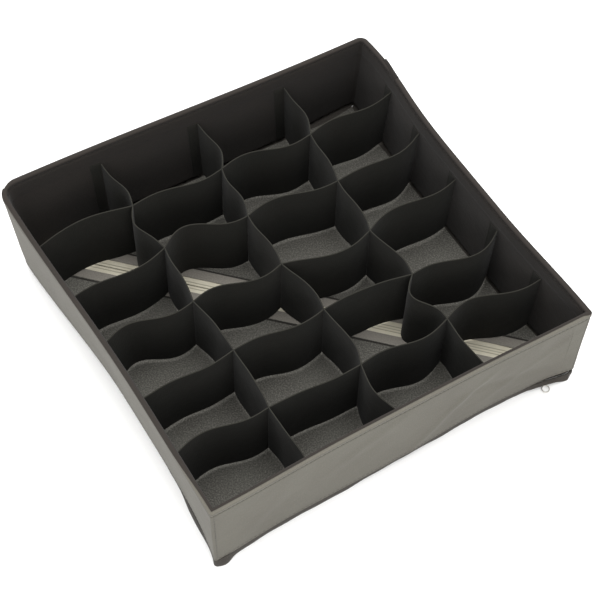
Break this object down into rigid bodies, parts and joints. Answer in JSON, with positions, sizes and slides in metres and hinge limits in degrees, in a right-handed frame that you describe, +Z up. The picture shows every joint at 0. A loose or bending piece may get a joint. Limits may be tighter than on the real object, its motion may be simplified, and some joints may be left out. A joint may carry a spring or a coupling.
{
  "type": "drawer organiser",
  "caption": "Square shallow cloth organiser with board-stiffened walls, waved cloth dividers that make small cells, and a diagonal zip in its bottom so that it folds.",
  "frame": {"origin": "centre of the bounding box's bottom face, on the surface it stands on", "axes": "+Z up, +X along the front wall to the right, +Y from the front wall (where the zip pull shows) to the back wall"},
  "size_m": [0.35, 0.3587, 0.09],
  "materials": {
    "grey_outer_cloth": "spun-bonded non-woven cloth, matte, speckled",
    "black_lining_cloth": "spun-bonded non-woven cloth, matte, black-brown",
    "divider_cloth": "spun-bonded non-woven cloth, matte, near black",
    "bottom_cloth": "spun-bonded non-woven cloth, matte, dark grey",
    "dark_seam_binding": "folded seam allowance, matte",
    "stiffener_board": "grey pressed board, raw",
    "zip_tape": "woven polyester tape, cream",
    "nylon_coil": "moulded nylon coil, satin",
    "zip_metal": "nickel-plated zinc, satin"
  },
  "bodies": {
    "front_wall": {"front_outer_cover": "grey_outer_cloth", "front_stiffener_board": "stiffener_board", "front_lining_and_rim": "black_lining_cloth", "front_seam_hem": "dark_seam_binding", "near_bottom_panel": "bottom_cloth", "near_zip_tape": "zip_tape", "near_zip_coil": "nylon_coil", "near_top_stop": "zip_metal"},
    "left_wall": {"left_outer_cover": "grey_outer_cloth", "left_stiffener_board": "stiffener_board", "left_lining_and_rim": "black_lining_cloth", "left_seam_hem": "dark_seam_binding"},
    "right_wall": {"right_outer_cover": "grey_outer_cloth", "right_stiffener_board": "stiffener_board", "right_lining_and_rim": "black_lining_cloth", "right_seam_hem": "dark_seam_binding", "far_top_stop": "zip_metal"},
    "back_wall": {"back_outer_cover": "grey_outer_cloth", "back_stiffener_board": "stiffener_board", "back_lining_and_rim": "black_lining_cloth", "back_seam_hem": "dark_seam_binding", "far_bottom_panel": "bottom_cloth", "far_zip_tape": "zip_tape", "far_zip_coil": "nylon_coil", "bottom_stop": "zip_metal"},
    "long_divider_1": {"long_divider_1": "divider_cloth"},
    "long_divider_2": {"long_divider_2": "divider_cloth"},
    "long_divider_3": {"long_divider_3": "divider_cloth"},
    "row1_piece_1": {"cross_divider_row1_1": "divider_cloth"},
    "row1_piece_2": {"cross_divider_row1_2": "divider_cloth"},
    "row1_piece_3": {"cross_divider_row1_3": "divider_cloth"},
    "row1_piece_4": {"cross_divider_row1_4": "divider_cloth"},
    "row2_piece_1": {"cross_divider_row2_1": "divider_cloth"},
    "row2_piece_2": {"cross_divider_row2_2": "divider_cloth"},
    "row2_piece_3": {"cross_divider_row2_3": "divider_cloth"},
    "row2_piece_4": {"cross_divider_row2_4": "divider_cloth"},
    "row3_piece_1": {"cross_divider_row3_1": "divider_cloth"},
    "row3_piece_2": {"cross_divider_row3_2": "divider_cloth"},
    "row3_piece_3": {"cross_divider_row3_3": "divider_cloth"},
    "row3_piece_4": {"cross_divider_row3_4": "divider_cloth"},
    "row4_piece_1": {"cross_divider_row4_1": "divider_cloth"},
    "row4_piece_2": {"cross_divider_row4_2": "divider_cloth"},
    "row4_piece_3": {"cross_divider_row4_3": "divider_cloth"},
    "row4_piece_4": {"cross_divider_row4_4": "divider_cloth"},
    "row5_piece_1": {"cross_divider_row5_1": "divider_cloth"},
    "row5_piece_2": {"cross_divider_row5_2": "divider_cloth"},
    "row5_piece_3": {"cross_divider_row5_3": "divider_cloth"},
    "row5_piece_4": {"cross_divider_row5_4": "divider_cloth"},
    "slider": {"zip_slider": "zip_metal"},
    "pull": {"zip_pull": "zip_metal"}
  },
  "joints": [
    {"name": "fold", "type": "hinge", "parent": "front_wall", "child": "left_wall", "pos_m": [-0.1705, -0.16615, 0], "axis": [0, 0, -1], "range_deg": [0, 45], "deforming": ["near_bottom_panel", "far_bottom_panel", "near_zip_tape", "far_zip_tape", "near_zip_coil", "far_zip_coil"]},
    {"name": "right_wall_turn", "type": "hinge", "parent": "front_wall", "child": "right_wall", "pos_m": [0.175, -0.17065, 0], "axis": [0, 0, -1], "range_deg": [0, 45]},
    {"name": "back_wall_turn", "type": "hinge", "parent": "right_wall", "child": "back_wall", "pos_m": [0.1705, 0.17485, 0], "axis": [0, 0, -1], "range_deg": [-45, 0]},
    {"name": "long_divider_1_turn", "type": "hinge", "parent": "front_wall", "child": "long_divider_1", "pos_m": [-0.0865, -0.15965, 0], "axis": [0, 0, -1], "range_deg": [0, 45]},
    {"name": "long_divider_2_turn", "type": "hinge", "parent": "front_wall", "child": "long_divider_2", "pos_m": [-0.003, -0.16165, 0], "axis": [0, 0, -1], "range_deg": [0, 45]},
    {"name": "long_divider_3_turn", "type": "hinge", "parent": "front_wall", "child": "long_divider_3", "pos_m": [0.0815, -0.16465, 0], "axis": [0, 0, -1], "range_deg": [0, 45]},
    {"name": "row1_piece_1_turn", "type": "hinge", "parent": "left_wall", "child": "row1_piece_1", "pos_m": [-0.168, 0.11585, 0], "axis": [0, 0, -1], "range_deg": [-45, 0]},
    {"name": "row1_piece_2_turn", "type": "hinge", "parent": "long_divider_1", "child": "row1_piece_2", "pos_m": [-0.084, 0.12235, 0], "axis": [0, 0, -1], "range_deg": [-45, 0]},
    {"name": "row1_piece_3_turn", "type": "hinge", "parent": "long_divider_2", "child": "row1_piece_3", "pos_m": [-0.0005, 0.12035, 0], "axis": [0, 0, -1], "range_deg": [-45, 0]},
    {"name": "row1_piece_4_turn", "type": "hinge", "parent": "long_divider_3", "child": "row1_piece_4", "pos_m": [0.084, 0.11735, 0], "axis": [0, 0, -1], "range_deg": [-45, 0]},
    {"name": "row2_piece_1_turn", "type": "hinge", "parent": "left_wall", "child": "row2_piece_1", "pos_m": [-0.171, 0.06035, 0], "axis": [0, 0, -1], "range_deg": [-45, 0]},
    {"name": "row2_piece_2_turn", "type": "hinge", "parent": "long_divider_1", "child": "row2_piece_2", "pos_m": [-0.087, 0.06685, 0], "axis": [0, 0, -1], "range_deg": [-45, 0]},
    {"name": "row2_piece_3_turn", "type": "hinge", "parent": "long_divider_2", "child": "row2_piece_3", "pos_m": [-0.0035, 0.06485, 0], "axis": [0, 0, -1], "range_deg": [-45, 0]},
    {"name": "row2_piece_4_turn", "type": "hinge", "parent": "long_divider_3", "child": "row2_piece_4", "pos_m": [0.081, 0.06185, 0], "axis": [0, 0, -1], "range_deg": [-45, 0]},
    {"name": "row3_piece_1_turn", "type": "hinge", "parent": "left_wall", "child": "row3_piece_1", "pos_m": [-0.175, 0.00135, 0], "axis": [0, 0, -1], "range_deg": [-45, 0]},
    {"name": "row3_piece_2_turn", "type": "hinge", "parent": "long_divider_1", "child": "row3_piece_2", "pos_m": [-0.091, 0.00785, 0], "axis": [0, 0, -1], "range_deg": [-45, 0]},
    {"name": "row3_piece_3_turn", "type": "hinge", "parent": "long_divider_2", "child": "row3_piece_3", "pos_m": [-0.0075, 0.00585, 0], "axis": [0, 0, -1], "range_deg": [-45, 0]},
    {"name": "row3_piece_4_turn", "type": "hinge", "parent": "long_divider_3", "child": "row3_piece_4", "pos_m": [0.077, 0.00285, 0], "axis": [0, 0, -1], "range_deg": [-45, 0]},
    {"name": "row4_piece_1_turn", "type": "hinge", "parent": "left_wall", "child": "row4_piece_1", "pos_m": [-0.1685, -0.05565, 0], "axis": [0, 0, -1], "range_deg": [-45, 0]},
    {"name": "row4_piece_2_turn", "type": "hinge", "parent": "long_divider_1", "child": "row4_piece_2", "pos_m": [-0.0845, -0.04915, 0], "axis": [0, 0, -1], "range_deg": [-45, 0]},
    {"name": "row4_piece_3_turn", "type": "hinge", "parent": "long_divider_2", "child": "row4_piece_3", "pos_m": [-0.001, -0.05115, 0], "axis": [0, 0, -1], "range_deg": [-45, 0]},
    {"name": "row4_piece_4_turn", "type": "hinge", "parent": "long_divider_3", "child": "row4_piece_4", "pos_m": [0.0835, -0.05415, 0], "axis": [0, 0, -1], "range_deg": [-45, 0]},
    {"name": "row5_piece_1_turn", "type": "hinge", "parent": "left_wall", "child": "row5_piece_1", "pos_m": [-0.17, -0.11315, 0], "axis": [0, 0, -1], "range_deg": [-45, 0]},
    {"name": "row5_piece_2_turn", "type": "hinge", "parent": "long_divider_1", "child": "row5_piece_2", "pos_m": [-0.086, -0.10665, 0], "axis": [0, 0, -1], "range_deg": [-45, 0]},
    {"name": "row5_piece_3_turn", "type": "hinge", "parent": "long_divider_2", "child": "row5_piece_3", "pos_m": [-0.0025, -0.10865, 0], "axis": [0, 0, -1], "range_deg": [-45, 0]},
    {"name": "row5_piece_4_turn", "type": "hinge", "parent": "long_divider_3", "child": "row5_piece_4", "pos_m": [0.082, -0.11165, 0], "axis": [0, 0, -1], "range_deg": [-45, 0]},
    {"name": "zip_slide", "type": "slide", "parent": "front_wall", "child": "slider", "axis": [0.7071, -0.7071, 0], "range_m": [-0.44, 0]},
    {"name": "pull_swing", "type": "hinge", "parent": "slider", "child": "pull", "pos_m": [0.15732, -0.15297, 0.002], "axis": [0.8947, -0.4467, 0], "range_deg": [0, 150]}
  ],
  "couplings": [
    {"joint": "right_wall_turn", "follows": "fold", "ratio": 1},
    {"joint": "back_wall_turn", "follows": "fold", "ratio": -1},
    {"joint": "long_divider_1_turn", "follows": "fold", "ratio": 1},
    {"joint": "long_divider_2_turn", "follows": "fold", "ratio": 1},
    {"joint": "long_divider_3_turn", "follows": "fold", "ratio": 1},
    {"joint": "row1_piece_1_turn", "follows": "fold", "ratio": -1},
    {"joint": "row1_piece_2_turn", "follows": "fold", "ratio": -1},
    {"joint": "row1_piece_3_turn", "follows": "fold", "ratio": -1},
    {"joint": "row1_piece_4_turn", "follows": "fold", "ratio": -1},
    {"joint": "row2_piece_1_turn", "follows": "fold", "ratio": -1},
    {"joint": "row2_piece_2_turn", "follows": "fold", "ratio": -1},
    {"joint": "row2_piece_3_turn", "follows": "fold", "ratio": -1},
    {"joint": "row2_piece_4_turn", "follows": "fold", "ratio": -1},
    {"joint": "row3_piece_1_turn", "follows": "fold", "ratio": -1},
    {"joint": "row3_piece_2_turn", "follows": "fold", "ratio": -1},
    {"joint": "row3_piece_3_turn", "follows": "fold", "ratio": -1},
    {"joint": "row3_piece_4_turn", "follows": "fold", "ratio": -1},
    {"joint": "row4_piece_1_turn", "follows": "fold", "ratio": -1},
    {"joint": "row4_piece_2_turn", "follows": "fold", "ratio": -1},
    {"joint": "row4_piece_3_turn", "follows": "fold", "ratio": -1},
    {"joint": "row4_piece_4_turn", "follows": "fold", "ratio": -1},
    {"joint": "row5_piece_1_turn", "follows": "fold", "ratio": -1},
    {"joint": "row5_piece_2_turn", "follows": "fold", "ratio": -1},
    {"joint": "row5_piece_3_turn", "follows": "fold", "ratio": -1},
    {"joint": "row5_piece_4_turn", "follows": "fold", "ratio": -1}
  ]
}
